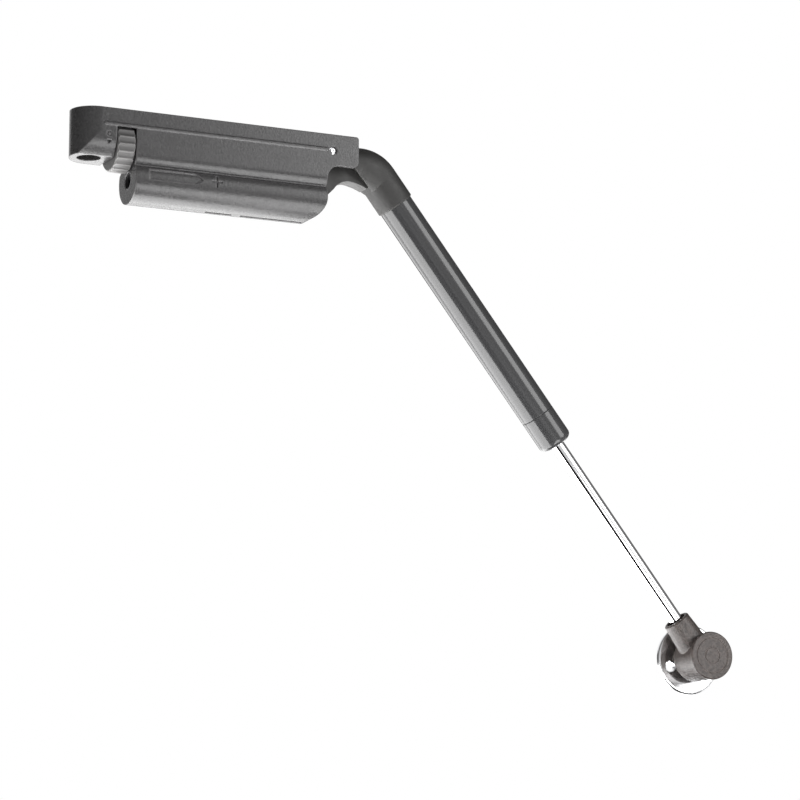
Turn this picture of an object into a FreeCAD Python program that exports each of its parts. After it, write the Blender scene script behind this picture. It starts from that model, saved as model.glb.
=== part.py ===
"""Gas strut stay for a cabinet flap: a spring-assisted pivot housing, a bent arm with a gas strut, and a ball end.

Frame: X runs along the housing towards the arm, Y from the front face to the back, Z up.
The origin is on the housing's flat top face, on the axis of the screw hole in its lug.
"""
import FreeCAD, Part
import math
import os
import re
import Sketcher

# Every driving dimension, in millimetres and degrees.
DIMENSIONS = {
    # housing outside
    "half_depth": 10.0,
    "end_centre": 2.0,
    "gap_left": 8.6,
    "gap_right": 17.1,
    "strip_height": 7.5,
    "lug_height": 19.6,
    "lug_straight": 9.3,
    "lug_curve": 12.7,
    "lug_toe": 5.4,
    "panel_height": 18.0,
    "crease_drop": 23.4,
    "crease_height": 1.5,
    "crease_inset": 1.7,
    "barrel_drop": 27.3,
    "barrel_radius": 10.0,
    "nose_reach": 102.8,
    "notch_radius": 5.4,
    "ear_reach": 117.0,
    "ear_height": 13.4,
    "ear_corner": 2.7,
    "top_corner": 1.2,
    # housing inside
    "wall": 1.6,
    "end_wall": 1.9,
    "channel_half": 8.2,
    "channel_floor": 17.6,
    "bore_radius": 8.4,
    "ear_half": 8.6,
    "slot_start": 58.0,
    "slot_half": 6.9,
    "nose_slot_half": 4.3,
    "nose_slot_floor": 33.0,
    # housing details
    "screw_radius": 2.3,
    "recess_radius": 5.0,
    "recess_roof": 5.0,
    "bead_drop": 6.6,
    "bead_half": 0.85,
    "bead_rise": 0.45,
    "bead_start": 3.2,
    "engraving": 0.55,
    "arrow_start": 23.1,
    "arrow_end": 46.8,
    "arrow_low": 28.1,
    "arrow_high": 24.0,
    "plus_centre": 52.8,
    "plus_drop": 26.2,
    "plus_reach": 2.4,
    "plus_half": 0.35,
    "index_reach": 5.4,
    "index_drop": 11.0,
    "dot_radius": 1.1,
    "dot_inner": 0.55,
    "point_drop": 13.5,
    "point_half": 1.1,
    "slit_depth": 0.7,
    "slit_width": 1.6,
    "slit_first": 51.0,
    "slit_second": 66.7,
    "slit_first_end": 62.9,
    "slit_second_end": 94.9,
    "boss_radius": 2.7,
    "boss_drop": 4.6,
    "boss_first": 30.0,
    "boss_second": 80.0,
    "case_screw_radius": 1.1,
    "case_head_radius": 2.0,
    "case_head_depth": 1.4,
    "drive_slot": 0.3,
    # pivot
    "pivot_reach": 105.1,
    "pivot_drop": 7.0,
    "pin_radius": 1.5,
    "pin_tip": 1.1,
    "pin_groove": 1.0,
    "pin_dimple": 0.35,
    "bush_radius": 2.5,
    "running": 0.05,
    "washer_radius": 4.4,
    "washer_start": 3.55,
    "washer_end": 4.15,
    # thumbwheel and trim spring
    "wheel_radius": 10.5,
    "wheel_start": 9.1,
    "wheel_width": 7.6,
    "wheel_drop": 13.8,
    "wheel_well": 10.9,
    "flute_count": 21.0,
    "flute_radius": 2.6,
    "flute_depth": 0.5,
    "wheel_chamfer": 0.7,
    "spindle_radius": 2.5,
    "journal_radius": 1.5,
    "journal_start": 6.4,
    "collar_width": 1.2,
    "spindle_end": 70.0,
    "trim_wire": 0.45,
    "nut_start": 24.0,
    "nut_length": 7.0,
    "nut_half": 7.8,
    # main spring drive
    "driver_radius": 3.5,
    "driver_recess": 1.4,
    "driver_collar": 6.0,
    "driver_thread": 2.5,
    "driver_length": 28.0,
    "hex_half": 2.0,
    "hex_depth": 2.6,
    "seat_start": 27.0,
    "seat_length": 5.0,
    "spigot_radius": 5.0,
    "lift_mean": 6.4,
    "lift_wire": 1.0,
    "tapped_radius": 2.0,
    "plunger_start": 70.0,
    "plunger_length": 6.0,
    "plunger_radius": 8.3,
    "fork_plate": 2.5,
    "fork_inner": 3.75,
    "fork_outer": 6.35,
    "fork_top": 9.0,
    "fork_bottom": 31.5,
    "crank_radius": 21.5,
    "crank_lean": 19.3,
    "fold_angle": 56.0,
    "roller_radius": 3.0,
    "roller_gap": 0.22,
    "cam_radius": 15.5,
    "cam_bow": 1.89,
    "cam_drop": 0.3,
    # arm
    "web_half": 3.5,
    "hub_radius": 5.0,
    "lobe_radius": 3.5,
    "bend_radius": 11.0,
    "elbow_radius": 8.15,
    "bend_drop": 21.5,
    "fillet_reach": 6.5,
    "shoulder_draft": 21.0,
    "thread_radius": 3.0,
    "sleeve_end": 35.2,
    "elbow_end": 115.5,
    # gas strut, measured down the strut from the foot of the pivot's offset
    "strut_angle": 51.65,
    "strut_offset": 15.3,
    "tube_radius": 7.5,
    "tube_bore": 6.4,
    "tube_start": 23.5,
    "tube_end": 144.0,
    "cap_end": 159.6,
    "rod_radius": 3.0,
    "rod_start": 122.9,
    "rod_tip": 1.9,
    "land_gap": 0.3,
    "ring_groove": 1.5,
    "neck_start": 253.2,
    "ball_station": 273.3,
    # ball end, depths measured along Y
    "neck_top": 5.9,
    "neck_root": 6.8,
    "neck_end": 6.0,
    "socket_front": 7.8,
    "socket_back": 6.0,
    "socket_small": 8.8,
    "socket_large": 10.1,
    "cap_front": 9.6,
    "cap_radius": 10.4,
    "cap_edge": 0.9,
    "cap_gap": 0.7,
    "ring_first": 3.2,
    "ring_second": 7.4,
    "ring_width": 0.5,
    "ring_depth": 0.25,
    "liner_radius": 6.8,
    "liner_mouth": 3.2,
    "ball_radius": 5.0,
    "stem_radius": 2.4,
    "flange_front": 10.0,
    "flange_back": 12.0,
    "flange_radius": 15.4,
    "flange_hole": 2.2,
    "flange_sink": 2.7,
    "flange_edge": 0.9,
    "stud_collar": 3.6,
    "stud_radius": 3.0,
    "flange_circle": 10.2,
    "flange_turn": 201.0,
}

doc = FreeCAD.newDocument("gas_strut_stay")
sheet = doc.addObject("Spreadsheet::Sheet", "Size")
for row, (alias, number) in enumerate(DIMENSIONS.items(), start=1):
    sheet.set(f"A{row}", alias)
    sheet.set(f"B{row}", str(number))
    sheet.setAlias(f"B{row}", alias)
doc.recompute()

X_AXIS = FreeCAD.Vector(1, 0, 0)
Y_AXIS = FreeCAD.Vector(0, 1, 0)
Z_AXIS = FreeCAD.Vector(0, 0, 1)
UPRIGHT = {
    "XY": FreeCAD.Rotation(),
    "XZ": FreeCAD.Rotation(X_AXIS, 90),
    "YZ": FreeCAD.Rotation(FreeCAD.Vector(1, 1, 1), 120),
}
ALONG = {
    "X": FreeCAD.Rotation(Y_AXIS, 90),
    "Y": FreeCAD.Rotation(X_AXIS, -90),
    "Z": FreeCAD.Rotation(),
}
# Places that several pieces share, as formulas of the driving dimensions.
FOOT_X = "(pivot_reach + strut_offset * sin(strut_angle))"
FOOT_Z = "(strut_offset * cos(strut_angle) - pivot_drop)"
BALL_X = f"({FOOT_X} + ball_station * cos(strut_angle))"
BALL_Z = f"({FOOT_Z} - ball_station * sin(strut_angle))"
CRANK_X = "(pivot_reach - crank_radius * sin(crank_lean))"
CRANK_Z = "(-pivot_drop - crank_radius * cos(crank_lean))"
RISE = "(crank_radius * (cos(crank_lean) - cos(crank_lean + fold_angle)))"


def bound(formula):
    """The formula with every dimension's name pointing at its cell."""
    return re.sub(r"[a-z_]+", lambda word: f"Size.{word[0]}" if word[0] in DIMENSIONS else word[0], formula)


def value(formula):
    return float(sheet.evalExpression(bound(formula)))


def place(item, x="0", y="0", z="0"):
    for axis, formula in zip("xyz", (x, y, z)):
        item.setExpression(f"Placement.Base.{axis}", bound(formula))


def name_piece(item, node):
    """Give a finished piece its node name, and keep it for writing."""
    item.Label = node
    pieces.append(item)
    return item


pieces = []


# ---- sketches ----

def pin_point(sketch, geometry, end, x, y):
    """Fix one point of a sketch at two formulas."""
    for kind, formula, axis in (("DistanceX", x, -2), ("DistanceY", y, -1)):
        if formula == "0":
            sketch.addConstraint(Sketcher.Constraint("PointOnObject", geometry, end, axis))
        else:
            rule = Sketcher.Constraint(kind, -1, 1, geometry, end, value(formula))
            sketch.setExpression(f"Constraints[{sketch.addConstraint(rule)}]", bound(formula))


def bind_radius(sketch, geometry, radius):
    rule = Sketcher.Constraint("Radius", geometry, value(radius))
    sketch.setExpression(f"Constraints[{sketch.addConstraint(rule)}]", bound(radius))


def draw_outline(sketch, corners):
    """Close a loop through the corners. Each is (across, up), or (across, up, radius, turn) where the way in
    is an arc: turn is "left" when its centre lies left of the way, and "right" when it lies right."""
    points = [FreeCAD.Vector(value(corner[0]), value(corner[1]), 0) for corner in corners]
    ends = []
    for index, corner in enumerate(corners):
        start = points[index - 1]
        stop = points[index]
        if len(corner) == 2:
            edge = sketch.addGeometry(Part.LineSegment(start, stop))
            ends.append((edge, 1, 2))
            continue
        chord = stop - start
        side = 1 if corner[3] == "left" else -1
        radius = value(corner[2])
        rise = math.sqrt(radius ** 2 - (chord.Length / 2) ** 2)
        across = FreeCAD.Vector(-chord.y, chord.x, 0).normalize()
        centre = (start + stop) * 0.5 + across * (side * rise)
        first, last = (start, stop) if side == 1 else (stop, start)
        from_angle = math.atan2(first.y - centre.y, first.x - centre.x)
        to_angle = math.atan2(last.y - centre.y, last.x - centre.x)
        circle = Part.Circle(centre, Z_AXIS, radius)
        edge = sketch.addGeometry(Part.ArcOfCircle(circle, from_angle, to_angle))
        bind_radius(sketch, edge, corner[2])
        ends.append((edge, 1, 2) if side == 1 else (edge, 2, 1))
    for index, corner in enumerate(corners):
        edge, _, stop = ends[index]
        following, start, _ = ends[(index + 1) % len(corners)]
        sketch.addConstraint(Sketcher.Constraint("Coincident", edge, stop, following, start))
        pin_point(sketch, edge, stop, corner[0], corner[1])


def draw_circle(sketch, x, y, radius):
    centre = FreeCAD.Vector(value(x), value(y), 0)
    ring = sketch.addGeometry(Part.Circle(centre, Z_AXIS, value(radius)))
    pin_point(sketch, ring, 3, x, y)
    bind_radius(sketch, ring, radius)


# ---- Part workbench pieces ----

def block(name, x, y, z):
    """A box between two formulas on each axis."""
    box = doc.addObject("Part::Box", name)
    for size, (low, high) in zip(("Length", "Width", "Height"), (x, y, z)):
        box.setExpression(size, bound(f"({high}) - ({low})"))
    place(box, x[0], y[0], z[0])
    return box


def bar(name, axis, radius, length, x="0", y="0", z="0"):
    """A round bar from the given point along one axis."""
    cylinder = doc.addObject("Part::Cylinder", name)
    cylinder.setExpression("Radius", bound(radius))
    cylinder.setExpression("Height", bound(length))
    cylinder.Placement = FreeCAD.Placement(FreeCAD.Vector(), ALONG[axis])
    place(cylinder, x, y, z)
    return cylinder


def prism(name, plane, corners, start, end):
    """An outline in one plane, from start to end along the axis across that plane."""
    sketch = doc.addObject("Sketcher::SketchObject", f"{name}_outline")
    sketch.Placement = FreeCAD.Placement(FreeCAD.Vector(), UPRIGHT[plane])
    place(sketch, **{{"XY": "z", "XZ": "y", "YZ": "x"}[plane]: start})
    draw_outline(sketch, corners)
    solid = doc.addObject("Part::Extrusion", name)
    solid.Base = sketch
    solid.DirMode = "Custom"
    solid.Dir = {"XY": Z_AXIS, "XZ": Y_AXIS, "YZ": X_AXIS}[plane]
    solid.Solid = True
    solid.setExpression("LengthFwd", bound(f"({end}) - ({start})"))
    return solid


def fuse(name, shapes):
    union = doc.addObject("Part::MultiFuse", name)
    union.Shapes = shapes
    return union


def common(name, shapes):
    overlap = doc.addObject("Part::MultiCommon", name)
    overlap.Shapes = shapes
    return overlap


def cut(name, base, tools):
    remains = doc.addObject("Part::Cut", name)
    remains.Base = base
    remains.Tool = tools[0] if len(tools) == 1 else fuse(f"{name}_tools", tools)
    return remains


def group(name, shapes):
    """Separate solids kept as one piece."""
    bundle = doc.addObject("Part::Compound", name)
    bundle.Links = shapes
    return bundle


# ---- PartDesign pieces ----

def new_body(node, x="0", y="0", z="0", along_strut=False):
    """A body at a point. Along the strut its Z axis points down the strut and its X axis at the pivot."""
    body = doc.addObject("PartDesign::Body", f"{node}_body")
    if along_strut:
        body.Placement = FreeCAD.Placement(FreeCAD.Vector(), FreeCAD.Rotation(Y_AXIS, 90))
        body.setExpression("Placement.Rotation.Angle", bound("90 + strut_angle"))
    place(body, x, y, z)
    return name_piece(body, node)


def new_sketch(body, plane, x="0", y="0", z="0"):
    """A sketch on one of the body's own planes; x and y move it in that plane and z moves it off it."""
    sketch = body.newObject("Sketcher::SketchObject", f"{body.Name}_{plane}")
    role = f"{plane}_Plane"
    sketch.AttachmentSupport = [(item, "") for item in body.Origin.OriginFeatures if item.Role == role]
    sketch.MapMode = "FlatFace"
    for axis, formula in zip("xyz", (x, y, z)):
        sketch.setExpression(f"AttachmentOffset.Base.{axis}", bound(formula))
    return sketch


def add_feature(body, kind, sketch):
    feature = body.newObject(f"PartDesign::{kind}", f"{body.Name}_{kind}")
    feature.Profile = sketch
    sketch.Visibility = False
    return feature


def pad(body, sketch, length, both=False, back=False):
    feature = add_feature(body, "Pad", sketch)
    feature.SideType = "Symmetric" if both else "One side"
    feature.Reversed = back
    feature.setExpression("Length", bound(length))
    return feature


def pocket(body, sketch, length, both=False, back=False):
    feature = add_feature(body, "Pocket", sketch)
    feature.SideType = "Symmetric" if both else "One side"
    feature.Reversed = back
    feature.setExpression("Length", bound(length))
    return feature


def turn(body, corners, plane="XZ", axis="V_Axis", remove=False):
    """Revolve a half section about one of the sketch's axes, adding or cutting metal."""
    sketch = new_sketch(body, plane)
    draw_outline(sketch, corners)
    feature = add_feature(body, "Groove" if remove else "Revolution", sketch)
    feature.ReferenceAxis = (sketch, [axis])
    feature.Angle = 360
    return feature


def turned_on_strut(node, corners):
    """A turned piece on the strut's axis, its half section given as (radius, distance down the strut)."""
    body = new_body(node, FOOT_X, "0", FOOT_Z, along_strut=True)
    turn(body, corners)
    return body


def turned_at_ball(node, corners):
    """A turned piece on the ball joint's axis, its half section given as (radius, depth along Y)."""
    body = new_body(node, BALL_X, "0", BALL_Z)
    turn(body, corners, plane="XY")
    return body


def coil(node, mean, wire, turns, start, end, drop):
    """A compression spring along X between two stations, at a depth below the top face."""
    helix = doc.addObject("Part::Helix", f"{node}_helix")
    helix.setExpression("Radius", bound(mean))
    helix.setExpression("Height", bound(f"({end}) - ({start}) - 2 * ({wire})"))
    helix.setExpression("Pitch", bound(f"(({end}) - ({start}) - 2 * ({wire})) / {turns}"))
    section = doc.addObject("Part::Circle", f"{node}_wire")
    section.setExpression("Radius", bound(wire))
    section.Placement = FreeCAD.Placement(FreeCAD.Vector(), FreeCAD.Rotation(X_AXIS, 90))
    place(section, mean)
    sweep = doc.addObject("Part::Sweep", f"{node}_sweep")
    sweep.Sections = [section]
    sweep.Spine = (helix, [])
    sweep.Solid = True
    sweep.Frenet = True
    sweep.Placement = FreeCAD.Placement(FreeCAD.Vector(), ALONG["X"])
    place(sweep, f"({start}) + ({wire})", "0", f"-({drop})")
    return name_piece(sweep, node)


# ---- housing ----

def housing_envelope():
    """The outside of the spring housing: its side outline and its cross-section, each cut by the other."""
    side = prism("housing_side", "XZ", [
        ("gap_right", "0"),
        ("ear_reach - top_corner", "0"),
        ("ear_reach", "-top_corner", "top_corner", "right"),
        ("ear_reach", "ear_corner - ear_height"),
        ("ear_reach - ear_corner", "-ear_height", "ear_corner", "right"),
        ("nose_reach + notch_radius", "-ear_height"),
        ("nose_reach", "-ear_height - notch_radius", "notch_radius", "left"),
        ("nose_reach", "-barrel_drop"),
        ("nose_reach - barrel_radius", "-barrel_drop - barrel_radius", "barrel_radius", "right"),
        ("gap_right", "-barrel_drop - barrel_radius"),
    ], "-half_depth - 1", "half_depth + 1")
    crease = "sqrt(barrel_radius ^ 2 - (barrel_drop - crease_drop) ^ 2)"
    section = prism("housing_section", "YZ", [
        ("-half_depth", "0"),
        ("-half_depth", "-panel_height"),
        ("crease_inset - half_depth", "crease_height - crease_drop", "6", "left"),
        ("crease_inset + 0.5 - half_depth", "crease_height - 0.4 - crease_drop"),
        ("crease_inset - 0.2 - half_depth", "0.2 - crease_drop"),
        (f"-{crease}", "-crease_drop"),
        ("0", "-barrel_drop - barrel_radius", "barrel_radius", "left"),
        (crease, "-crease_drop", "barrel_radius", "left"),
        ("half_depth - crease_inset + 0.2", "0.2 - crease_drop"),
        ("half_depth - crease_inset - 0.5", "crease_height - 0.4 - crease_drop"),
        ("half_depth - crease_inset", "crease_height - crease_drop"),
        ("half_depth", "-panel_height", "6", "left"),
        ("half_depth", "0"),
    ], "gap_right - 1", "ear_reach + 1")
    return common("housing_envelope", [side, section])


def lug_envelope():
    """The screw lug with its half-round end, and the strip that joins it to the spring housing."""
    plan = prism("lug_plan", "XY", [
        ("end_centre", "half_depth"),
        ("end_centre - half_depth", "0", "half_depth", "left"),
        ("end_centre", "-half_depth", "half_depth", "left"),
        ("gap_right + end_wall / 2", "-half_depth"),
        ("gap_right + end_wall / 2", "half_depth"),
    ], "-lug_height - 1", "0")
    section = prism("lug_section", "YZ", [
        ("-half_depth - 1", "0"),
        ("-half_depth - 1", "-lug_straight"),
        ("-half_depth", "-lug_straight"),
        ("-lug_toe", "-lug_height", "lug_curve", "left"),
        ("half_depth + 1", "-lug_height"),
        ("half_depth + 1", "0"),
    ], "end_centre - half_depth - 1", "gap_left")
    strip = block("lug_strip", ("0", "gap_right + end_wall / 2"), ("-half_depth", "half_depth"),
                  ("-strip_height", "0"))
    return common("lug_envelope", [plan, fuse("lug_and_strip", [section, strip])])


def housing_hollow():
    """The channel for the trim spring, the spring barrel, the slot between them and the open ear."""
    inner_end = "nose_reach - wall + 0.2"
    channel = block("channel", ("gap_right + end_wall", inner_end), ("-channel_half", "channel_half"),
                    ("-channel_floor", "-wall"))
    bore = bar("bore", "X", "bore_radius", f"{inner_end} - gap_right - end_wall", "gap_right + end_wall",
               "0", "-barrel_drop")
    nose = prism("bore_nose", "XZ", [
        ("gap_right", "-wall"),
        (inner_end, "-wall"),
        (inner_end, "-barrel_drop"),
        (f"{inner_end} - bore_radius", "-barrel_drop - bore_radius", "bore_radius", "right"),
        ("gap_right", "-barrel_drop - bore_radius"),
    ], "-half_depth", "half_depth")
    slot = block("fork_slot", ("slot_start", inner_end), ("-slot_half", "slot_half"),
                 ("-barrel_drop", "-channel_floor + 1"))
    ear = block("ear_hollow", (f"{inner_end} - 1", "ear_reach + 1"), ("-ear_half", "ear_half"),
                ("-ear_height - notch_radius", "-wall"))
    nose_slot = block("nose_slot", (f"{inner_end} - 1", "nose_reach + 1"), ("-nose_slot_half", "nose_slot_half"),
                      ("-nose_slot_floor", "-ear_height"))
    return fuse("housing_hollow", [channel, common("bore_end", [bore, nose]), slot, ear, nose_slot])


def front_marks():
    """Shallow marks in the front face: the adjusting arrow with its plus, and the wheel's index."""
    arrow = prism("arrow", "XZ", [
        ("arrow_start", "-arrow_low"),
        ("arrow_end - 3.4", "-arrow_low"),
        ("arrow_end", "-(arrow_low + arrow_high) / 2"),
        ("arrow_end - 3.4", "-arrow_high"),
        ("arrow_start", "-arrow_high"),
    ], "-half_depth - 1", "0")
    plus_across = block("plus_across", ("plus_centre - plus_reach", "plus_centre + plus_reach"),
                        ("-half_depth - 1", "0"), ("-plus_drop - plus_half", "plus_half - plus_drop"))
    plus_up = block("plus_up", ("plus_centre - plus_half", "plus_centre + plus_half"),
                    ("-half_depth - 1", "0"), ("-plus_drop - plus_reach", "plus_reach - plus_drop"))
    skin = cut("barrel_skin", bar("skin_outer", "X", "barrel_radius + 1", "60", "10", "0", "-barrel_drop"),
               [bar("skin_inner", "X", "barrel_radius - engraving", "60", "10", "0", "-barrel_drop")])
    barrel_marks = common("barrel_marks", [fuse("arrow_and_plus", [arrow, plus_across, plus_up]), skin])
    index_dot = cut("index_dot", bar("dot_disc", "Y", "dot_radius", "1.5", "index_reach", "-half_depth - 1",
                                     "-index_drop"),
                    [bar("dot_core", "Y", "dot_inner", "1.5", "index_reach", "-half_depth - 1", "-index_drop")])
    index_point = prism("index_point", "XZ", [
        ("index_reach - point_half", "-point_drop"),
        ("index_reach + point_half", "-point_drop"),
        ("index_reach", "-point_drop - 1.4 * point_half"),
    ], "-half_depth - 1", "-half_depth + 1.7")
    return [barrel_marks, index_dot, index_point]


def front_bead():
    """The half-round bead along the front face, from the lug to the pivot."""
    return prism("front_bead", "YZ", [
        ("wall / 2 - half_depth", "bead_half - bead_drop"),
        ("-half_depth", "bead_half - bead_drop"),
        ("-half_depth", "-bead_half - bead_drop", "(bead_half ^ 2 + bead_rise ^ 2) / (2 * bead_rise)", "left"),
        ("wall / 2 - half_depth", "-bead_half - bead_drop"),
    ], "bead_start", "pivot_reach - 2.2")


def case_bosses(name, side):
    """Screw bosses under the top wall and pivot bosses in the ear, on the front (-1) or the back (1)."""
    def span(near, far):
        return (f"-({far})", f"-({near})") if side < 0 else (near, far)

    solids = []
    for index, station in enumerate(("boss_first", "boss_second")):
        low, high = span("0", "channel_half + 0.3")
        solids.append(bar(f"{name}_boss_{index}", "Y", "boss_radius", f"({high}) - ({low})",
                          station, low, "-boss_drop"))
    low, high = span("washer_end", "ear_half + 0.3")
    solids.append(bar(f"{name}_pivot_boss", "Y", "washer_radius", f"({high}) - ({low})",
                      "pivot_reach", low, "-pivot_drop"))
    return solids


def make_housing():
    envelope = housing_envelope()
    hollow = housing_hollow()
    end_block = block("end_block", ("gap_right - 1", "gap_right + end_wall"), ("-half_depth - 1", "half_depth + 1"),
                      ("-barrel_drop - barrel_radius - 1", "1"))
    front_half = block("front_half", ("gap_right + end_wall - 1", "ear_reach + 1"), ("-half_depth - 1", "0"),
                       ("-barrel_drop - barrel_radius - 1", "1"))
    back_half = block("back_half", ("gap_right + end_wall", "ear_reach + 1"), ("0", "half_depth + 1"),
                      ("-barrel_drop - barrel_radius - 1", "1"))
    hollow_front = cut("front_hollowed", common("front_envelope", [envelope, fuse("front_space",
                       [end_block, front_half])]), [hollow])
    hollow_back = cut("back_hollowed", common("back_envelope", [envelope, back_half]), [hollow])
    pin_hole = bar("pin_hole", "Y", "pin_radius", "2 * half_depth + 2", "pivot_reach", "-half_depth - 1",
                   "-pivot_drop")
    pin_ring = bar("pin_ring", "Y", "pin_radius + 0.25", "pin_groove", "pivot_reach", "-half_depth", "-pivot_drop")
    lug_tools = [
        bar("lug_screw_hole", "Z", "screw_radius", "lug_height + 2", "0", "0", "-lug_height - 1"),
        bar("lug_recess", "Z", "recess_radius", "lug_height + 1 - recess_roof", "0", "0", "-lug_height - 1"),
        bar("lug_journal", "X", "journal_radius + running", "gap_left - journal_start + 0.2", "journal_start - 0.2",
            "0", "-wheel_drop"),
        bar("wheel_well", "X", "wheel_well", "gap_right - gap_left", "gap_left", "0", "-wheel_drop"),
        bar("spindle_hole", "X", "spindle_radius + running", "end_wall + 1", "gap_right - 0.5", "0",
            "-wheel_drop"),
        bar("driver_hole", "X", "driver_radius", "end_wall + 1", "gap_right - 0.5", "0", "-barrel_drop"),
    ]
    latch_slits = [
        block(f"latch_{start}", (start, f"{start}_end"), ("-slit_width", "0"),
              ("-barrel_drop - barrel_radius - 1", "slit_depth - barrel_drop - barrel_radius"))
        for start in ("slit_first", "slit_second")
    ]
    pilot_holes = []
    head_sinks = []
    screws = []
    for index, station in enumerate(("boss_first", "boss_second")):
        pilot_holes.append(bar(f"pilot_{index}", "Y", "case_screw_radius", "half_depth * 1.6", station,
                               "-half_depth * 0.6", "-boss_drop"))
        head_sinks.append(bar(f"head_sink_{index}", "Y", "case_head_radius + 0.1", "case_head_depth + 1", station,
                              "half_depth - case_head_depth", "-boss_drop"))
        shank = bar(f"case_shank_{index}", "Y", "case_screw_radius", "half_depth * 1.5", station,
                    "-half_depth * 0.6", "-boss_drop")
        head = bar(f"case_head_{index}", "Y", "case_head_radius", "case_head_depth - 0.1", station,
                   "half_depth - case_head_depth", "-boss_drop")
        depth = ("half_depth - case_head_depth / 2 - 0.2", "half_depth")
        slots = [
            block(f"drive_{index}_{name}", (f"{station} - {across}", f"{station} + {across}"), depth,
                  (f"-boss_drop - {up}", f"{up} - boss_drop"))
            for name, across, up in (("a", "4 * drive_slot", "drive_slot"), ("b", "drive_slot", "4 * drive_slot"))
        ]
        screws.append(cut(f"case_screw_{index}", fuse(f"case_screw_blank_{index}", [shank, head]), slots))
    front = fuse("front_solid", [hollow_front, lug_envelope(), front_bead()] + case_bosses("front", -1))
    name_piece(cut("front_cut", front, [pin_hole, pin_ring] + lug_tools + latch_slits + pilot_holes + front_marks()),
               "front_shell")
    back = fuse("back_solid", [hollow_back] + case_bosses("back", 1))
    name_piece(cut("back_cut", back, [pin_hole] + pilot_holes + head_sinks), "rear_shell")
    name_piece(group("case_screws", screws), "shell_screws")


# ---- pivot ----

def make_pivot():
    pin = new_body("pivot_pin", "pivot_reach", "0", "-pivot_drop")
    turn(pin, [
        ("0", "0.6 - half_depth"),
        ("pin_dimple", "0.1 - half_depth"),
        ("pin_tip - 0.15", "0.1 - half_depth"),
        ("pin_tip", "0.25 - half_depth"),
        ("pin_tip", "pin_groove - half_depth"),
        ("pin_radius", "pin_groove - half_depth"),
        ("pin_radius", "half_depth - 0.4"),
        ("pin_radius - 0.3", "half_depth - 0.1"),
        ("0", "half_depth - 0.1"),
    ], plane="XY")
    washers = []
    for index, (low, high) in enumerate((("-washer_end", "-washer_start"), ("washer_start", "washer_end"))):
        disc = bar(f"washer_disc_{index}", "Y", "washer_radius", f"({high}) - ({low})", "pivot_reach", low,
                   "-pivot_drop")
        hole = bar(f"washer_hole_{index}", "Y", "pin_radius", f"({high}) - ({low}) + 1", "pivot_reach",
                   f"({low}) - 0.5", "-pivot_drop")
        washers.append(cut(f"washer_{index}", disc, [hole]))
    name_piece(group("washers", washers), "pivot_washers")
    bush = bar("bush_outer", "Y", "bush_radius", "2 * web_half", "pivot_reach", "-web_half", "-pivot_drop")
    hole = bar("bush_hole", "Y", "pin_radius + running", "2 * web_half + 2", "pivot_reach", "-web_half - 1",
               "-pivot_drop")
    name_piece(cut("bush", bush, [hole]), "pivot_bush")


# ---- thumbwheel, spindle, trim nut and trim spring ----

def make_trim():
    wheel = new_body("thumbwheel", "wheel_start", "0", "-wheel_drop")
    turn(wheel, [
        ("0", "0"),
        ("wheel_width", "0"),
        ("wheel_width", "wheel_radius - wheel_chamfer"),
        ("wheel_width - wheel_chamfer", "wheel_radius"),
        ("wheel_chamfer", "wheel_radius"),
        ("0", "wheel_radius - wheel_chamfer"),
    ], axis="H_Axis")
    flute = new_sketch(wheel, "YZ", z="-1")
    draw_circle(flute, "0", "wheel_radius + flute_radius - flute_depth", "flute_radius")
    flute_cut = pocket(wheel, flute, "wheel_width + 2", back=True)
    pattern = wheel.newObject("PartDesign::PolarPattern", "wheel_flutes")
    pattern.Originals = [flute_cut]
    pattern.Axis = ([item for item in wheel.Origin.OriginFeatures if item.Role == "X_Axis"][0], [""])
    pattern.Angle = 360
    pattern.setExpression("Occurrences", bound("flute_count"))
    wheel.Tip = pattern
    bore = new_sketch(wheel, "YZ", z="-1")
    draw_circle(bore, "0", "0", "spindle_radius")
    pocket(wheel, bore, "wheel_width + 2", back=True)
    journal = bar("spindle_journal", "X", "journal_radius", "wheel_start - journal_start", "journal_start", "0",
                  "-wheel_drop")
    shaft = bar("spindle_shaft", "X", "spindle_radius", "spindle_end - wheel_start", "wheel_start", "0",
                "-wheel_drop")
    collar = bar("spindle_collar", "X", "spindle_radius + collar_width", "collar_width",
                 "gap_right + end_wall + 0.1", "0", "-wheel_drop")
    name_piece(fuse("spindle", [journal, shaft, collar]), "trim_spindle")
    nut = block("nut_blank", ("nut_start", "nut_start + nut_length"), ("-nut_half", "nut_half"),
                ("0.3 - channel_floor", "-boss_drop - boss_radius - 0.5"))
    nut_bore = bar("nut_bore", "X", "spindle_radius + running", "nut_length + 2", "nut_start - 1", "0",
                   "-wheel_drop")
    name_piece(cut("nut", nut, [nut_bore]), "trim_nut")
    coil("trim_spring", "spindle_radius + 0.25 + trim_wire", "trim_wire", "20", "nut_start + nut_length",
         "plunger_start + plunger_length", "wheel_drop")


# ---- adjusting screw, spring seat, main spring, plunger and fork ----

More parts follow.
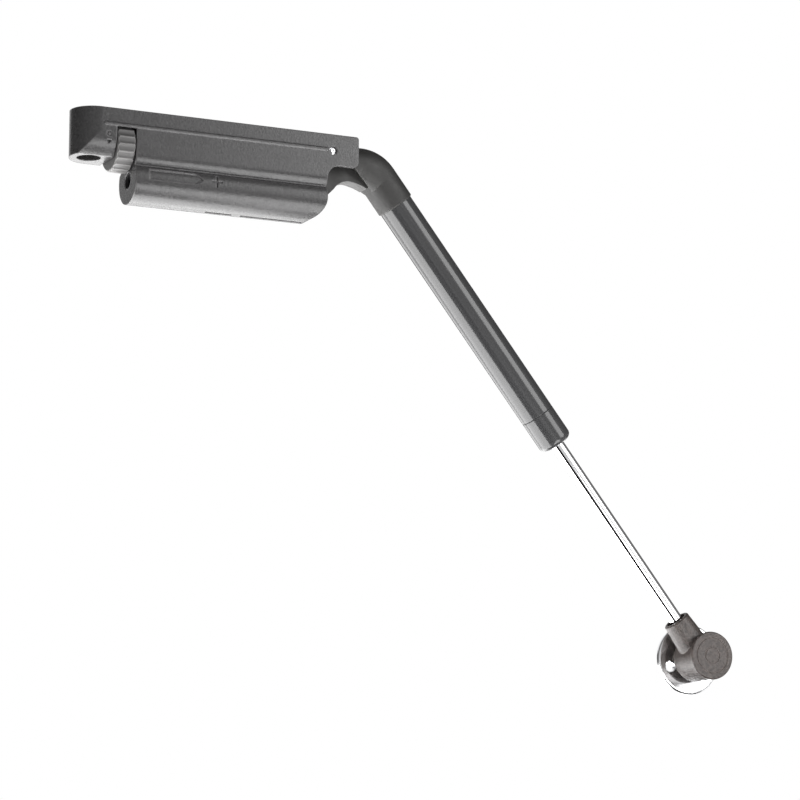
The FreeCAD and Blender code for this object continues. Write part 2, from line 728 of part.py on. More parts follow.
def make_drive():
    head = bar("driver_head", "X", "driver_radius - running", "end_wall", "gap_right + driver_recess", "0",
               "-barrel_drop")
    collar = bar("driver_flange", "X", "driver_collar", "1.6", "gap_right + end_wall + 0.1", "0", "-barrel_drop")
    shaft = bar("driver_shaft", "X", "driver_thread", "driver_length", "gap_right + end_wall + 0.5", "0",
                "-barrel_drop")
    corner = "hex_half / cos(30)"
    hexagon = prism("hex_socket", "YZ", [
        ("hex_half", f"-barrel_drop - {corner} / 2"),
        ("hex_half", f"{corner} / 2 - barrel_drop"),
        ("0", f"{corner} - barrel_drop"),
        ("-hex_half", f"{corner} / 2 - barrel_drop"),
        ("-hex_half", f"-barrel_drop - {corner} / 2"),
        ("0", f"-barrel_drop - {corner}"),
    ], "gap_right + driver_recess - 1", "gap_right + driver_recess + hex_depth")
    name_piece(cut("driver", fuse("driver_blank", [head, collar, shaft]), [hexagon]), "adjusting_screw")
    seat = new_body("spring_seat", "seat_start", "0", "-barrel_drop")
    ring = new_sketch(seat, "YZ")
    draw_circle(ring, "0", "0", "plunger_radius")
    draw_circle(ring, "0", "0", "driver_thread + running")
    pad(seat, ring, "seat_length / 2")
    spigot = new_sketch(seat, "YZ")
    draw_circle(spigot, "0", "0", "spigot_radius")
    draw_circle(spigot, "0", "0", "driver_thread + running")
    pad(seat, spigot, "seat_length")
    plunger = new_body("plunger", "plunger_start", "0", "-barrel_drop")
    disc = new_sketch(plunger, "YZ")
    draw_circle(disc, "0", "0", "plunger_radius")
    pad(plunger, disc, "plunger_length")
    nose = new_sketch(plunger, "YZ")
    draw_circle(nose, "0", "0", "spigot_radius")
    pad(plunger, nose, "4", back=True)
    tapped = new_sketch(plunger, "YZ", z="plunger_length + 1")
    draw_circle(tapped, "0", "0", "tapped_radius")
    pocket(plunger, tapped, "plunger_length")
    coil("lift_spring", "lift_mean", "lift_wire", "8", "seat_start + seat_length / 2", "plunger_start",
         "barrel_drop")
    make_fork()


def make_fork():
    """The U-shaped fork that the two springs push; its concave tips bear on the crank rollers."""
    start = "plunger_start + plunger_length"
    web = block("fork_web", (start, f"{start} + fork_plate"), ("-fork_outer", "fork_outer"),
                ("-fork_bottom", "-fork_top"))
    face = "cam_radius + roller_radius + roller_gap"
    centre_x = f"({CRANK_X} - cam_bow + cam_radius)"
    centre_z = f"({CRANK_Z} + {RISE} / 2 - cam_drop)"

    def tip_x(z):
        return f"{centre_x} - sqrt(({face}) ^ 2 - ({z} - {centre_z}) ^ 2)"

    plates = []
    for index, (low, high) in enumerate((("-fork_outer", "-fork_inner"), ("fork_inner", "fork_outer"))):
        plates.append(prism(f"fork_side_{index}", "XZ", [
            (start, "-fork_bottom"),
            (tip_x("-fork_bottom"), "-fork_bottom"),
            (tip_x("-fork_top"), "-fork_top", face, "right"),
            (start, "-fork_top"),
        ], low, high))
    holes = [
        bar("fork_spindle_hole", "X", "spindle_radius + 0.15", "fork_plate + 2", f"{start} - 1", "0", "-wheel_drop"),
        bar("fork_screw_hole", "X", "tapped_radius", "fork_plate + 2", f"{start} - 1", "0", "-barrel_drop"),
    ]
    name_piece(cut("fork", fuse("fork_blank", [web] + plates), holes), "push_fork")
    shank = bar("fork_screw_shank", "X", "tapped_radius", "fork_plate + 4.5", f"{start} - 4.5", "0", "-barrel_drop")
    head = bar("fork_screw_head", "X", "3.3", "1.8", f"{start} + fork_plate", "0", "-barrel_drop")
    slot = block("fork_screw_slot", (f"{start} + fork_plate + 1", f"{start} + fork_plate + 3"), ("-4", "4"),
                 ("-barrel_drop - 0.5", "0.5 - barrel_drop"))
    name_piece(cut("fork_screw_cut", fuse("fork_screw_blank", [shank, head]), [slot]), "fork_screw")


# ---- arm ----

def turned_on_arm(body, x, z, lean, corners, remove=False):
    """A round feature of the arm about an axis that leans from upright, through a point beside the pivot."""
    sketch = new_sketch(body, "XZ")
    sketch.AttachmentOffset = FreeCAD.Placement(FreeCAD.Vector(), FreeCAD.Rotation(Z_AXIS, 0))
    for setting, formula in (("Base.x", x), ("Base.y", z), ("Rotation.Angle", lean)):
        sketch.setExpression(f"AttachmentOffset.{setting}", bound(formula))
    draw_outline(sketch, corners)
    feature = add_feature(body, "Groove" if remove else "Revolution", sketch)
    feature.ReferenceAxis = (sketch, ["V_Axis"])
    feature.Angle = 360


def make_arm():
    """The bent arm: a round elbow over the strut's end, and a flat tongue with the pivot hub and the crank lobe."""
    arm = new_body("arm_elbow", "pivot_reach", "0", "-pivot_drop")
    bend_x = "(strut_offset - bend_radius) * sin(strut_angle) + bend_drop * cos(strut_angle)"
    bend_z = "(strut_offset - bend_radius) * cos(strut_angle) - bend_drop * sin(strut_angle)"
    bend = new_sketch(arm, "YZ", y=bend_z, z=bend_x)
    draw_circle(bend, "0", "bend_radius", "elbow_radius")
    elbow = add_feature(arm, "Revolution", bend)
    elbow.ReferenceAxis = (bend, ["H_Axis"])
    elbow.setExpression("Angle", bound("strut_angle"))
    doc.recompute()
    level = new_sketch(arm, "YZ", z=bend_x)
    draw_circle(level, "0", f"{bend_z} + bend_radius", "elbow_radius")
    pad(arm, level, f"{bend_x} - elbow_end + pivot_reach", back=True)
    chord = "fillet_reach * cos(strut_angle / 2)"
    turned_on_arm(arm, f"{bend_x} + bend_radius * tan(strut_angle / 2) - fillet_reach * sin(strut_angle / 2) ^ 2",
                  f"{bend_z} + bend_radius - fillet_reach * sin(strut_angle / 2) * cos(strut_angle / 2)",
                  "90 - strut_angle / 2", [
                      ("0", f"-{chord}"),
                      ("elbow_radius", f"-{chord}"),
                      ("elbow_radius", chord),
                      ("0", chord),
                  ])
    relief = new_sketch(arm, "XZ")
    draw_outline(relief, [
        ("-2", "7.2"),
        ("12.6", "-3.1"),
        ("22.8", "-14"),
        ("16", "-27"),
        ("-2", "-27"),
    ])
    for back in (False, True):
        shoulder = pocket(arm, relief, "elbow_radius + 1", back=back)
        shoulder.setExpression("TaperAngle", bound("-shoulder_draft"))
    web = new_sketch(arm, "XZ")
    lobe_x = "-crank_radius * sin(crank_lean)"
    lobe_z = "-crank_radius * cos(crank_lean)"
    draw_outline(web, [
        ("0", "hub_radius"),
        ("-hub_radius * cos(12)", "hub_radius * sin(12)", "hub_radius", "left"),
        (f"{lobe_x} - lobe_radius * cos(22)", f"{lobe_z} + lobe_radius * sin(22)"),
        (f"{lobe_x} + lobe_radius * cos(45)", f"{lobe_z} - lobe_radius * sin(45)", "lobe_radius", "left"),
        ("3.4", "-14.7"),
        ("10.2", "-10.75", "8.5", "right"),
        ("18.5", "-13.1", "24", "right"),
        ("24", "-9"),
        ("15", "4.2"),
        ("12", "4.7"),
    ])
    pad(arm, web, "2 * web_half", both=True)
    foot = ("strut_offset * sin(strut_angle)", "strut_offset * cos(strut_angle)", "90 - strut_angle")
    turned_on_arm(arm, *foot, [
        ("0", "-bend_drop"),
        ("elbow_radius", "-bend_drop"),
        ("elbow_radius", "0.4 - sleeve_end"),
        ("elbow_radius - 0.4", "-sleeve_end"),
        ("0", "-sleeve_end"),
    ])
    turned_on_arm(arm, *foot, [
        ("0", "8 - tube_start"),
        ("thread_radius", "8 - tube_start"),
        ("thread_radius", "-tube_start"),
        ("tube_radius", "-tube_start"),
        ("tube_radius", "-sleeve_end - 1"),
        ("0", "-sleeve_end - 1"),
    ], remove=True)
    holes = new_sketch(arm, "XZ")
    draw_circle(holes, "0", "0", "bush_radius")
    draw_circle(holes, lobe_x, lobe_z, "pin_radius")
    pocket(arm, holes, "60", both=True)
    pin = bar("crank_pin_shank", "Y", "pin_radius", "2 * fork_outer + 1", CRANK_X, "-fork_outer - 0.5", CRANK_Z)
    name_piece(pin, "crank_pin")
    rollers = []
    for index, low in enumerate(("-fork_outer", "fork_inner")):
        blank = bar(f"roller_blank_{index}", "Y", "roller_radius", "fork_outer - fork_inner", CRANK_X, low, CRANK_Z)
        hole = bar(f"roller_hole_{index}", "Y", "pin_radius", "fork_outer - fork_inner + 2", CRANK_X,
                   f"({low}) - 1", CRANK_Z)
        rollers.append(cut(f"roller_{index}", blank, [hole]))
    name_piece(group("rollers", rollers), "crank_rollers")


# ---- gas strut ----

def make_strut():
    turned_on_strut("strut_tube", [
        ("tube_bore", "tube_start"),
        ("tube_radius", "tube_start"),
        ("tube_radius", "tube_end"),
        ("tube_bore", "tube_end"),
    ])
    turned_on_strut("tube_plug", [
        ("0", "tube_start - 7.8"),
        ("thread_radius - 0.5", "tube_start - 7.8"),
        ("thread_radius", "tube_start - 7.3"),
        ("thread_radius", "tube_start"),
        ("tube_bore", "tube_start"),
        ("tube_bore", "tube_start + 5.5"),
        ("0", "tube_start + 5.5"),
    ])
    turned_on_strut("rod_guide", [
        ("rod_radius + running", "tube_end - 12"),
        ("tube_bore", "tube_end - 12"),
        ("tube_bore", "tube_end - 6.5"),
        ("rod_radius + running", "tube_end - 6.5"),
    ])
    turned_on_strut("rod_seal", [
        ("rod_radius + running / 2", "tube_end - 6.5"),
        ("tube_bore", "tube_end - 6.5"),
        ("tube_bore", "tube_end - 4"),
        ("rod_radius + running / 2", "tube_end - 4"),
    ])
    turned_on_strut("tube_end_cap", [
        ("rod_radius + running", "tube_end - 4"),
        ("tube_bore", "tube_end - 4"),
        ("tube_bore", "tube_end"),
        ("tube_radius - 0.25", "tube_end"),
        ("tube_radius", "tube_end + 0.35"),
        ("tube_radius", "cap_end - 2.6"),
        ("tube_radius - 2.4", "cap_end", "2.6", "left"),
        ("rod_radius + 0.8", "cap_end"),
        ("rod_radius + running", "cap_end - 0.8"),
    ])
    turned_on_strut("piston_rod", [
        ("0", "rod_start"),
        ("rod_tip", "rod_start"),
        ("rod_tip", "rod_start + 9"),
        ("rod_radius", "rod_start + 9"),
        ("rod_radius", "ball_station - 8.3"),
        ("0", "ball_station - 8.3"),
    ])
    turned_on_strut("piston", [
        ("rod_tip", "rod_start + 3"),
        ("tube_bore - land_gap", "rod_start + 3"),
        ("tube_bore - land_gap", "rod_start + 5"),
        ("tube_bore - ring_groove", "rod_start + 5"),
        ("tube_bore - ring_groove", "rod_start + 7"),
        ("tube_bore - land_gap", "rod_start + 7"),
        ("tube_bore - land_gap", "rod_start + 9"),
        ("rod_tip", "rod_start + 9"),
    ])
    turned_on_strut("piston_ring", [
        ("tube_bore - ring_groove", "rod_start + 5"),
        ("tube_bore - running", "rod_start + 5"),
        ("tube_bore - running", "rod_start + 7"),
        ("tube_bore - ring_groove", "rod_start + 7"),
    ])
    turned_on_strut("piston_nut", [
        ("rod_tip", "rod_start + 0.5"),
        ("3.6", "rod_start + 0.5"),
        ("3.6", "rod_start + 3"),
        ("rod_tip", "rod_start + 3"),
    ])


# ---- ball end ----

def make_ball_end():
    socket = new_body("rod_end_socket", BALL_X, "0", BALL_Z, along_strut=True)
    mouth = "neck_start - ball_station"
    turn(socket, [
        ("0", mouth),
        ("neck_top - 0.8", mouth),
        ("neck_top", f"{mouth} + 0.8", "0.8", "left"),
        ("neck_root", "-neck_end"),
        ("0", "-neck_end"),
    ])
    turn(socket, [
        ("0", "-socket_front"),
        ("socket_small", "-socket_front"),
        ("socket_large", "socket_back"),
        ("0", "socket_back"),
    ], plane="XY")
    turn(socket, [
        ("0", f"{mouth} - 1"),
        ("rod_radius + 1.5", f"{mouth} - 1"),
        ("rod_radius + 1.5", f"{mouth} + 2.2"),
        ("rod_radius", f"{mouth} + 3"),
        ("rod_radius", "-8.3"),
        ("0", "-8.3"),
    ], remove=True)
    turn(socket, [
        ("0", "-socket_front - 1"),
        ("liner_radius + running", "-socket_front - 1"),
        ("liner_radius + running", "liner_mouth + running"),
        ("liner_radius - 0.8", "liner_mouth + running"),
        ("liner_radius - 0.8", "socket_back + 1"),
        ("0", "socket_back + 1"),
    ], plane="XY", remove=True)
    turned_at_ball("socket_cap", [
        ("0", "-cap_front"),
        ("ring_first", "-cap_front"),
        ("ring_first", "ring_depth - cap_front"),
        ("ring_first + ring_width", "ring_depth - cap_front"),
        ("ring_first + ring_width", "-cap_front"),
        ("ring_second", "-cap_front"),
        ("ring_second", "ring_depth - cap_front"),
        ("ring_second + ring_width", "ring_depth - cap_front"),
        ("ring_second + ring_width", "-cap_front"),
        ("cap_radius - cap_edge", "-cap_front"),
        ("cap_radius", "cap_edge - cap_front", "cap_edge", "left"),
        ("cap_radius", "-socket_front - cap_gap"),
        ("socket_small - cap_gap", "-socket_front - cap_gap"),
        ("socket_small - cap_gap", "-socket_front"),
        ("liner_radius", "-socket_front"),
        ("liner_radius", "0.6 - socket_front"),
        ("0", "0.6 - socket_front"),
    ])
    turned_at_ball("ball_liner", [
        ("0", "0.65 - socket_front"),
        ("liner_radius", "0.65 - socket_front"),
        ("liner_radius", "liner_mouth"),
        ("sqrt((ball_radius + running) ^ 2 - liner_mouth ^ 2)", "liner_mouth"),
        ("0", "-ball_radius - running", "ball_radius + running", "right"),
    ])
    turned_at_ball("ball_stud", [
        ("0", "-ball_radius"),
        ("stem_radius", "sqrt(ball_radius ^ 2 - stem_radius ^ 2)", "ball_radius", "left"),
        ("stem_radius", "flange_front - 1.2"),
        ("stud_collar", "flange_front - 0.6"),
        ("stud_collar", "flange_front"),
        ("stud_radius", "flange_front"),
        ("stud_radius", "flange_back"),
        ("0", "flange_back"),
    ])
    flange = turned_at_ball("mounting_flange", [
        ("stud_radius", "flange_front"),
        ("flange_radius - flange_edge", "flange_front"),
        ("flange_radius", "flange_front + flange_edge", "flange_edge", "left"),
        ("flange_radius", "flange_back - 0.2"),
        ("flange_radius - 0.2", "flange_back"),
        ("stud_radius", "flange_back"),
    ])
    doc.recompute()
    hole = new_sketch(flange, "XZ", z="-flange_back - 1")
    draw_circle(hole, "flange_circle * cos(flange_turn)", "flange_circle * sin(flange_turn)", "flange_hole")
    drilled = pocket(flange, hole, "flange_back - flange_front + 2", back=True)
    sink = new_sketch(flange, "XZ", z="-flange_front + 0.01")
    draw_circle(sink, "flange_circle * cos(flange_turn)", "flange_circle * sin(flange_turn)", "flange_sink")
    countersunk = pocket(flange, sink, "flange_sink - flange_hole")
    countersunk.TaperAngle = -45
    pattern = flange.newObject("PartDesign::PolarPattern", "flange_holes")
    pattern.Originals = [drilled, countersunk]
    pattern.Axis = ([item for item in flange.Origin.OriginFeatures if item.Role == "Y_Axis"][0], [""])
    pattern.Angle = 360
    pattern.Occurrences = 3
    flange.Tip = pattern


def write_pieces():
    """Check every object, then write each piece to its own STEP file."""
    doc.recompute()
    faults = [item.Name for item in doc.Objects if {"Invalid", "Error"} & set(item.State)]
    faults += [item.Label for item in pieces if item.Shape.isNull() or not item.Shape.isValid()]
    if faults:
        raise RuntimeError(f"faulty objects: {faults}")
    os.makedirs("parts", exist_ok=True)
    for item in pieces:
        item.Shape.exportStep(f"parts/{item.Label}.step")
        print(item.Label, len(item.Shape.Solids), round(item.Shape.Volume, 1))


make_housing()
make_pivot()
make_trim()
make_drive()
make_arm()
make_strut()
make_ball_end()
write_pieces()
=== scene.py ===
"""Looks for the gas strut stay: materials for every node, copies of the coils, a floor, studio
light and the camera."""
import math

import bpy
from mathutils import Matrix, Vector


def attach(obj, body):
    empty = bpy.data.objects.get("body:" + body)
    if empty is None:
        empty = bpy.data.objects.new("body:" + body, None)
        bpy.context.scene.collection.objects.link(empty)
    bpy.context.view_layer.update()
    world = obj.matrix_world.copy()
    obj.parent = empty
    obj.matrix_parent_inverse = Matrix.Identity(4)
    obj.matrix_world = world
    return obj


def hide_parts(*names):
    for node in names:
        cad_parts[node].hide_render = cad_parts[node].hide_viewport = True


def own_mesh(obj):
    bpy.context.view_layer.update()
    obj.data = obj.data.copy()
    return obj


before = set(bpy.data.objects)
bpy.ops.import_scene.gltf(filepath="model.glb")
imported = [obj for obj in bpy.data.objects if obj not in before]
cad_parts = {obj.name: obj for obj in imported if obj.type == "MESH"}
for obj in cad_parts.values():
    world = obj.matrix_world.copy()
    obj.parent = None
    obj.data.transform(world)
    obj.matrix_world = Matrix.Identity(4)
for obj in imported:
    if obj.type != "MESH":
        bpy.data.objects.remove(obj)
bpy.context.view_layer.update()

RIGHT, DEPTH, UP = Vector((1, 0, 0)), Vector((0, 1, 0)), Vector((0, 0, 1))
STRUT = Vector((0.62045, 0, -0.78424))


# ---- node materials ----

# A Mix node has one set of inputs for each kind of value, all with the same names. These are
# the places of the colour ones.
MIX_SHARE, MIX_FIRST, MIX_SECOND, MIX_RESULT = 0, 6, 7, 2

NOISE_LOW, NOISE_HIGH = 0.3, 0.7    # what noise seldom goes beyond
FLAT_DOT, EDGE_DOT = 0.995, 0.93    # rounded normal times true normal, on a flat and on an edge
BEVEL_SAMPLES = 6


class Nodes:
    """A node tree, with short ways to add nodes to it."""

    def __init__(self, tree):
        self.tree = tree

    def add(self, kind, **inputs):
        """A node with some of its inputs set, to a value or to another node's output."""
        node = self.tree.nodes.new(kind)
        for key, setting in inputs.items():
            self.feed(node, key.replace("_", " "), setting)
        return node

    def feed(self, node, key, setting):
        socket = node.inputs[key]
        if isinstance(setting, bpy.types.NodeSocket):
            self.tree.links.new(setting, socket)
        else:
            socket.default_value = setting

    def maths(self, operation, *settings):
        node = self.tree.nodes.new("ShaderNodeMath")
        node.operation = operation
        for place, setting in enumerate(settings):
            self.feed(node, place, setting)
        return node.outputs[0]


class Finish(Nodes):
    """A procedural material, built round one Principled shader. Sizes are in metres."""

    def __init__(self, name, roughness, metallic=0.0):
        self.material = bpy.data.materials.new(name)
        self.material.use_nodes = True
        super().__init__(self.material.node_tree)
        self.shader = self.tree.nodes["Principled BSDF"]
        self.shader.inputs["Metallic"].default_value = metallic
        self.shader.inputs["Roughness"].default_value = roughness
        self.place = self.add("ShaderNodeTexCoord").outputs["Object"]
        self.roughness = roughness

    def stretched(self, along, share):
        """The piece's own coordinates, with one direction drawn out so that noise runs along it."""
        turned = self.add("ShaderNodeVectorRotate", Vector=self.place)
        turned.rotation_type = "EULER_XYZ"
        turned.inputs["Rotation"].default_value = along.rotation_difference(UP).to_euler()
        scaled = self.add("ShaderNodeMapping", Vector=turned.outputs[0])
        scaled.inputs["Scale"].default_value = (1, 1, share)
        return scaled.outputs[0]

    def noise(self, size, detail=2.0, place=None):
        """Noise from 0 to 1 with features of about this size."""
        node = self.add("ShaderNodeTexNoise", Vector=place or self.place,
                        Scale=1 / size, Detail=detail)
        return node.outputs[0]

    def spread(self, noise, low=0.0, high=1.0):
        """Noise brought to run from low to high."""
        node = self.add("ShaderNodeMapRange", Value=noise, From_Min=NOISE_LOW,
                        From_Max=NOISE_HIGH, To_Min=low, To_Max=high)
        return node.outputs[0]

    def true_normal(self):
        return self.add("ShaderNodeNewGeometry").outputs["Normal"]

    def edges(self, radius):
        """The rounded edges' normal, and a mask that is 1 on an edge and 0 on a flat."""
        rounded = self.add("ShaderNodeBevel", Radius=radius)
        rounded.samples = BEVEL_SAMPLES
        alike = self.tree.nodes.new("ShaderNodeVectorMath")
        alike.operation = "DOT_PRODUCT"
        self.feed(alike, 0, rounded.outputs[0])
        self.feed(alike, 1, self.true_normal())
        mask = self.add("ShaderNodeMapRange", Value=alike.outputs["Value"],
                        From_Min=FLAT_DOT, From_Max=EDGE_DOT)
        return rounded.outputs[0], mask.outputs[0]

    def mix(self, share, first, second):
        node = self.tree.nodes.new("ShaderNodeMix")
        node.data_type = "RGBA"
        self.feed(node, MIX_SHARE, share)
        self.feed(node, MIX_FIRST, first)
        self.feed(node, MIX_SECOND, second)
        return node.outputs[MIX_RESULT]

    def colour(self, setting):
        self.feed(self.shader, "Base Color", setting)

    def rough(self, noise, share):
        """Roughness that wanders by a share of its own value."""
        low, high = self.roughness * (1 - share), self.roughness * (1 + share)
        self.feed(self.shader, "Roughness", self.spread(noise, low, high))

    def bump(self, height, depth, normal):
        node = self.add("ShaderNodeBump", Strength=1.0, Height=height, Distance=depth,
                        Normal=normal)
        self.feed(self.shader, "Normal", node.outputs[0])


def shade(colour, share):
    return tuple(min(1.0, part * share) for part in colour) + (1.0,)


def painted(name, colour, roughness, relief, bevel, highlight_gain, mottle):
    """Satin paint over a casting: a fine grain, faint clouds, and a painted highlight on the edges,
    broken up by noise.
    """
    cloud_size, highlight_break_size, patch_size, grain_size, gloss_size = 0.012, 0.003, 0.0011, 0.0007, 0.004
    patch_share = 0.6
    finish = Finish(name, roughness)
    normal, edge = finish.edges(bevel)
    cloud = finish.spread(finish.noise(cloud_size, 3.0))
    patch = finish.spread(finish.noise(patch_size))
    clouded = finish.mix(cloud, shade(colour, 0.94), shade(colour, 1.06))
    patched = finish.mix(patch, shade(colour, 1 - mottle), shade(colour, 1 + 2 * mottle))
    grained = finish.mix(patch_share, clouded, patched)
    # Painted highlight: the edges are made lighter than the paint and broken up by noise, standing
    # in for light catching the edges.
    painted_highlight = finish.maths("MULTIPLY", edge, finish.spread(finish.noise(highlight_break_size, 3.0), 0.5, 1.0))
    finish.colour(finish.mix(painted_highlight, grained, shade(colour, highlight_gain)))
    finish.rough(finish.noise(gloss_size), 0.12)
    finish.bump(finish.noise(grain_size), relief, normal)
    return finish.material


def moulded(name, colour, roughness):
    """Moulded plastic: a very fine spark-eroded texture and a painted highlight on the edges."""
    cloud_size, grain_size, gloss_size = 0.006, 0.0003, 0.0025
    bevel, relief, edge_highlight_share = 0.0003, 0.000012, 0.85
    finish = Finish(name, roughness)
    normal, edge = finish.edges(bevel)
    cloud = finish.spread(finish.noise(cloud_size))
    body = finish.mix(cloud, shade(colour, 0.93), shade(colour, 1.08))
    # Painted highlight: the edges are made much lighter than the plastic.
    edge = finish.maths("MULTIPLY", edge, edge_highlight_share)
    finish.colour(finish.mix(edge, body, shade(colour, 4.6)))
    finish.rough(finish.noise(gloss_size), 0.15)
    finish.bump(finish.noise(grain_size), relief, normal)
    return finish.material


def enamelled(name, colour, roughness, along):
    """Smooth semi-gloss paint on a drawn tube, with faint streaks along it and a painted highlight
    on the edges.
    """
    streak_size, streak_draw, ripple_size = 0.0011, 0.03, 0.0016
    bevel, relief, edge_highlight_share = 0.00035, 0.000004, 0.6
    finish = Finish(name, roughness)
    normal, edge = finish.edges(bevel)
    streak = finish.noise(streak_size, 3.0, finish.stretched(along, streak_draw))
    body = finish.mix(finish.spread(streak), shade(colour, 0.9), shade(colour, 1.12))
    # Painted highlight: the edges are made lighter than the paint.
    edge = finish.maths("MULTIPLY", edge, edge_highlight_share)
    finish.colour(finish.mix(edge, body, shade(colour, 1.7)))
    finish.rough(streak, 0.12)
    finish.bump(finish.noise(ripple_size), relief, normal)
    return finish.material


def plated(name, colour, roughness, along, size=0.0004, draw=0.04, relief=0.0000006,
           bevel=0.0003):
    """Bright metal with fine working marks drawn out along one direction."""
    cloud_size = 0.008
    finish = Finish(name, roughness, metallic=1.0)
    normal = finish.edges(bevel)[0] if bevel else finish.true_normal()
    lines = finish.noise(size, 3.0, finish.stretched(along, draw))
    cloud = finish.spread(finish.noise(cloud_size))
    finish.colour(finish.mix(cloud, shade(colour, 0.96), shade(colour, 1.03)))
    finish.rough(lines, 0.3)
    finish.bump(lines, relief, normal)
    return finish.material


def rubbery(name, colour, roughness):
    """Dull rubber with a fine grain and a painted highlight on the edges."""
    grain_size, gloss_size, bevel, relief = 0.0002, 0.002, 0.0002, 0.00001
    finish = Finish(name, roughness)
    normal, edge = finish.edges(bevel)
    # Painted highlight: the edges are made twice as light as the rubber.
    finish.colour(finish.mix(edge, shade(colour, 1.0), shade(colour, 2.0)))
    finish.rough(finish.noise(gloss_size), 0.2)
    finish.bump(finish.noise(grain_size), relief, normal)
    return finish.material


HOUSING_GREY = (0.0300, 0.0291, 0.0296)
ARM_GREY = (0.020, 0.0192, 0.0183)
SOCKET_GREY = (0.046, 0.0375, 0.0342)
TUBE_GREY = (0.037, 0.037, 0.038)
WHEEL_GREY = (0.085, 0.083, 0.082)
NATURAL_NYLON = (0.70, 0.68, 0.62)
CHROME = (0.90, 0.90, 0.91)
STEEL = (0.62, 0.62, 0.63)
ZINC = (0.56, 0.57, 0.60)
SPRING_WIRE = (0.30, 0.30, 0.32)
BLACK_OXIDE = (0.035, 0.035, 0.037)
BRASS = (0.72, 0.53, 0.24)
NITRILE = (0.015, 0.015, 0.016)

# The edge factor in each call below sets how much lighter the painted highlight on the edges is.
housing_paint = painted("housing_paint", HOUSING_GREY, 0.27,
                        relief=0.00005, bevel=0.0009, highlight_gain=5.0, mottle=0.35)
arm_paint = painted("arm_paint", ARM_GREY, 0.55,
                    relief=0.00001, bevel=0.0004, highlight_gain=3.0, mottle=0.1)
socket_paint = painted("socket_paint", SOCKET_GREY, 0.40,
                       relief=0.00016, bevel=0.0004, highlight_gain=3.2, mottle=0.6)
tube_enamel = enamelled("tube_enamel", TUBE_GREY, 0.14, STRUT)
wheel_plastic = moulded("wheel_plastic", WHEEL_GREY, 0.42)
nylon = moulded("nylon", NATURAL_NYLON, 0.5)
rod_chrome = plated("rod_chrome", CHROME, 0.03, STRUT, draw=0.02, relief=0.0000001, bevel=0)
flange_chrome = plated("flange_chrome", CHROME, 0.17, UP, size=0.0006, draw=0.1, bevel=0.0005)
bright_steel = plated("bright_steel", STEEL, 0.34, DEPTH, bevel=0.00008)
zinc_steel = plated("zinc_steel", ZINC, 0.34, RIGHT, relief=0.000002)
black_oxide = plated("black_oxide", BLACK_OXIDE, 0.42, RIGHT, bevel=0.0001)
spring_steel = plated("spring_steel", SPRING_WIRE, 0.36, RIGHT, bevel=0.0001)
brass = plated("brass", BRASS, 0.28, DEPTH)
rubber = rubbery("seal_rubber", NITRILE, 0.6)

FINISHES = {
    housing_paint: ("front_shell", "rear_shell"),
    arm_paint: ("arm_elbow",),
    socket_paint: ("rod_end_socket", "socket_cap"),
    tube_enamel: ("strut_tube", "tube_end_cap"),
    wheel_plastic: ("thumbwheel",),
    nylon: ("pivot_washers", "rod_guide", "piston", "ball_liner"),
    rod_chrome: ("piston_rod",),
    flange_chrome: ("mounting_flange", "ball_stud"),
    bright_steel: ("pivot_pin", "crank_pin", "crank_rollers"),
    zinc_steel: ("shell_screws", "trim_spindle", "spring_seat", "plunger", "push_fork",
                 "fork_screw", "tube_plug", "piston_nut"),
    black_oxide: ("adjusting_screw",),
    spring_steel: ("trim_spring", "lift_spring"),
    brass: ("pivot_bush", "trim_nut"),
    rubber: ("rod_seal", "piston_ring"),
}
for material, names in FINISHES.items():
    for name in names:
        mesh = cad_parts[name].data
        mesh.materials.clear()
        mesh.materials.append(material)


# ---- copies of the coils, hung on the housing ----

def shortening_coil(name, node):
    """A copy of a spring's mesh, hung on the housing in place of the spring, which is hidden."""
    coil = bpy.data.objects.new(name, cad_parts[node].data.copy())
    bpy.context.scene.collection.objects.link(coil)
    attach(coil, "housing")
    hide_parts(node)
    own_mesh(coil)


for coil_name, coil_node in (("lift_coil", "lift_spring"), ("trim_coil", "trim_spring")):
    shortening_coil(coil_name, coil_node)


# ---- studio ----

FLOOR = -0.75
FLOOR_REACH = 6
FLOOR_GLOW = 0.45

# Black cards that the camera doesn't see. They keep light off the stay and darken reflections.
CARDS = {
    "front_flag": [(-0.35, -0.235, -0.355), (0.20, -0.05, -0.355),
                   (0.20, -0.26, -0.355), (-0.35, -0.92, -0.355)],
    "socket_flag": [(0.20, -0.09, -0.30), (0.40, -0.09, -0.30),
                    (0.40, 0.11, -0.30), (0.20, 0.11, -0.30)],
}

# The sky's brightness falls along depth plus a share of height. The camera itself sees white.
SKY_HEIGHT_SHARE = 0.7
SKY_FROM, SKY_TO = -0.95, 0.4
SKY_BRIGHT, SKY_DIM = 0.72, 0.1
SKY_SEEN = 1.0


def plane(name, corners, material):
    mesh = bpy.data.meshes.new(name)
    mesh.from_pydata(corners, [], [(0, 1, 2, 3)])
    mesh.materials.append(material)
    item = bpy.data.objects.new(name, mesh)
    bpy.context.scene.collection.objects.link(item)
    return item


def panel(name, spot, width, height, radiance, target=None):
    """A soft light of this brightness per unit of its face, which the camera doesn't see.
    It looks up by default."""
    light = bpy.data.lights.new(name, "AREA")
    light.shape = "RECTANGLE"
    light.size = width
    light.size_y = height
    light.energy = radiance * math.pi * width * height
    item = bpy.data.objects.new(name, light)
    bpy.context.scene.collection.objects.link(item)
    item.location = spot
    item.rotation_euler = (math.pi, 0, 0)
    if target:
        aim = Vector(target) - Vector(spot)
        item.rotation_euler = aim.to_track_quat("-Z", "Y").to_euler()
    item.visible_camera = False


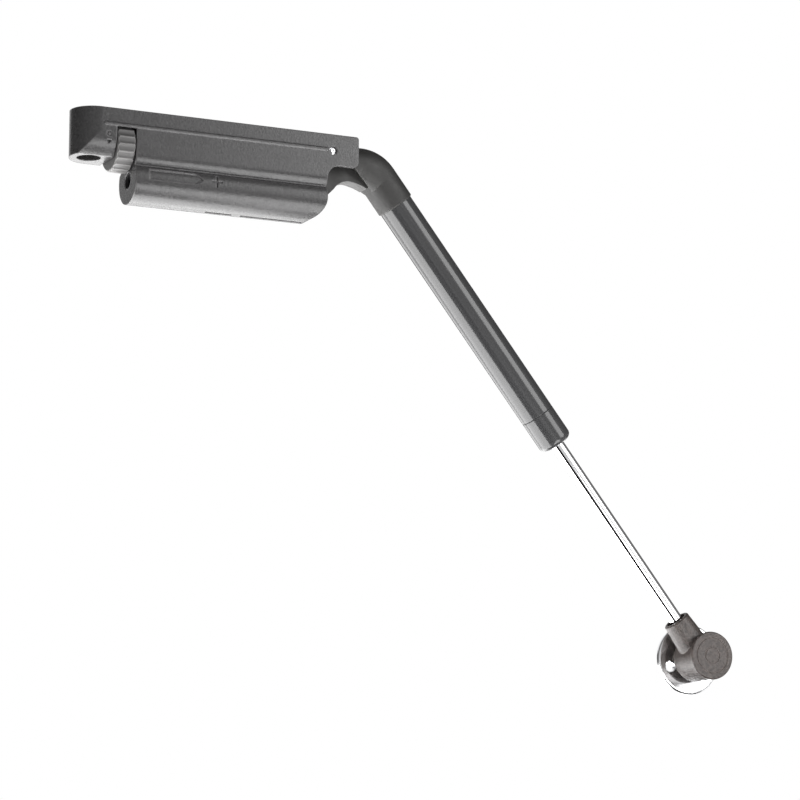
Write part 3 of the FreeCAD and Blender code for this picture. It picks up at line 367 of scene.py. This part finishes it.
floor_finish = Finish("floor_card", 0.8)
floor_cloud = floor_finish.spread(floor_finish.noise(0.4))
floor_finish.colour(floor_finish.mix(floor_cloud, (0.80, 0.80, 0.80, 1), (0.83, 0.83, 0.83, 1)))
floor_finish.shader.inputs["Emission Color"].default_value = (1, 1, 1, 1)
floor_finish.shader.inputs["Emission Strength"].default_value = FLOOR_GLOW
plane("floor", [(-FLOOR_REACH, -FLOOR_REACH, FLOOR), (FLOOR_REACH, -FLOOR_REACH, FLOOR),
                (FLOOR_REACH, FLOOR_REACH, FLOOR), (-FLOOR_REACH, FLOOR_REACH, FLOOR)],
      floor_finish.material)

black_finish = Finish("black_card", 0.9)
black_finish.colour((0.01, 0.01, 0.01, 1))
for card, corners in CARDS.items():
    plane(card, corners, black_finish.material).visible_camera = False

panel("light_below", (-0.005, 0.08, -0.36), 0.59, 0.60, 6.8)
panel("light_below_back", (0.7, 1.4, -0.38), 2.2, 1.9, 2.6)
panel("light_front_low_right", (0.325, -0.475, -0.36), 0.35, 0.55, 5.5)
panel("light_front_right", (0.85, -0.98, 0.32), 0.62, 0.82, 4.8, target=(0.12, 0, -0.08))
panel("light_back", (0.1, 1.3, 0.8), 1.4, 1.4, 0.8, target=(0.1, 0, -0.08))

world = bpy.data.worlds.new("studio")
bpy.context.scene.world = world
world.use_nodes = True
sky = Nodes(world.node_tree)
direction = sky.add("ShaderNodeTexCoord")
split = sky.add("ShaderNodeSeparateXYZ", Vector=direction.outputs["Generated"])
raised = sky.maths("MULTIPLY_ADD", split.outputs["Z"], SKY_HEIGHT_SHARE, split.outputs["Y"])
fade = sky.add("ShaderNodeMapRange", Value=raised, From_Min=SKY_FROM, From_Max=SKY_TO,
               To_Min=SKY_BRIGHT, To_Max=SKY_DIM)
seen = sky.add("ShaderNodeLightPath")
pick = sky.add("ShaderNodeMix", Factor=seen.outputs["Is Camera Ray"], A=fade.outputs[0],
               B=SKY_SEEN)
sky.feed(sky.tree.nodes["Background"], "Color", pick.outputs[0])
bpy.context.scene.view_settings.view_transform = "Standard"


# ---- camera ----

CAMERA_SPOT = (-0.4315, -1.1923, -0.3447)
TURN = math.radians(25.65)
RISE = math.radians(10.1)
SENSOR = 36.0
FOCAL_PIXELS = 3182.0
IMAGE = 800.0
ahead = Vector((math.sin(TURN) * math.cos(RISE), math.cos(TURN) * math.cos(RISE), math.sin(RISE)))
side = Vector((math.cos(TURN), -math.sin(TURN), 0))
above = side.cross(ahead)
lens = bpy.data.cameras.new("camera")
lens.sensor_width = SENSOR
lens.lens = FOCAL_PIXELS / IMAGE * SENSOR
lens.clip_start = 0.05
lens.clip_end = 30
camera = bpy.data.objects.new("camera", lens)
bpy.context.scene.collection.objects.link(camera)
turn = Matrix((side, above, -ahead)).transposed().to_4x4()
camera.matrix_world = Matrix.Translation(CAMERA_SPOT) @ turn
bpy.context.scene.camera = camera
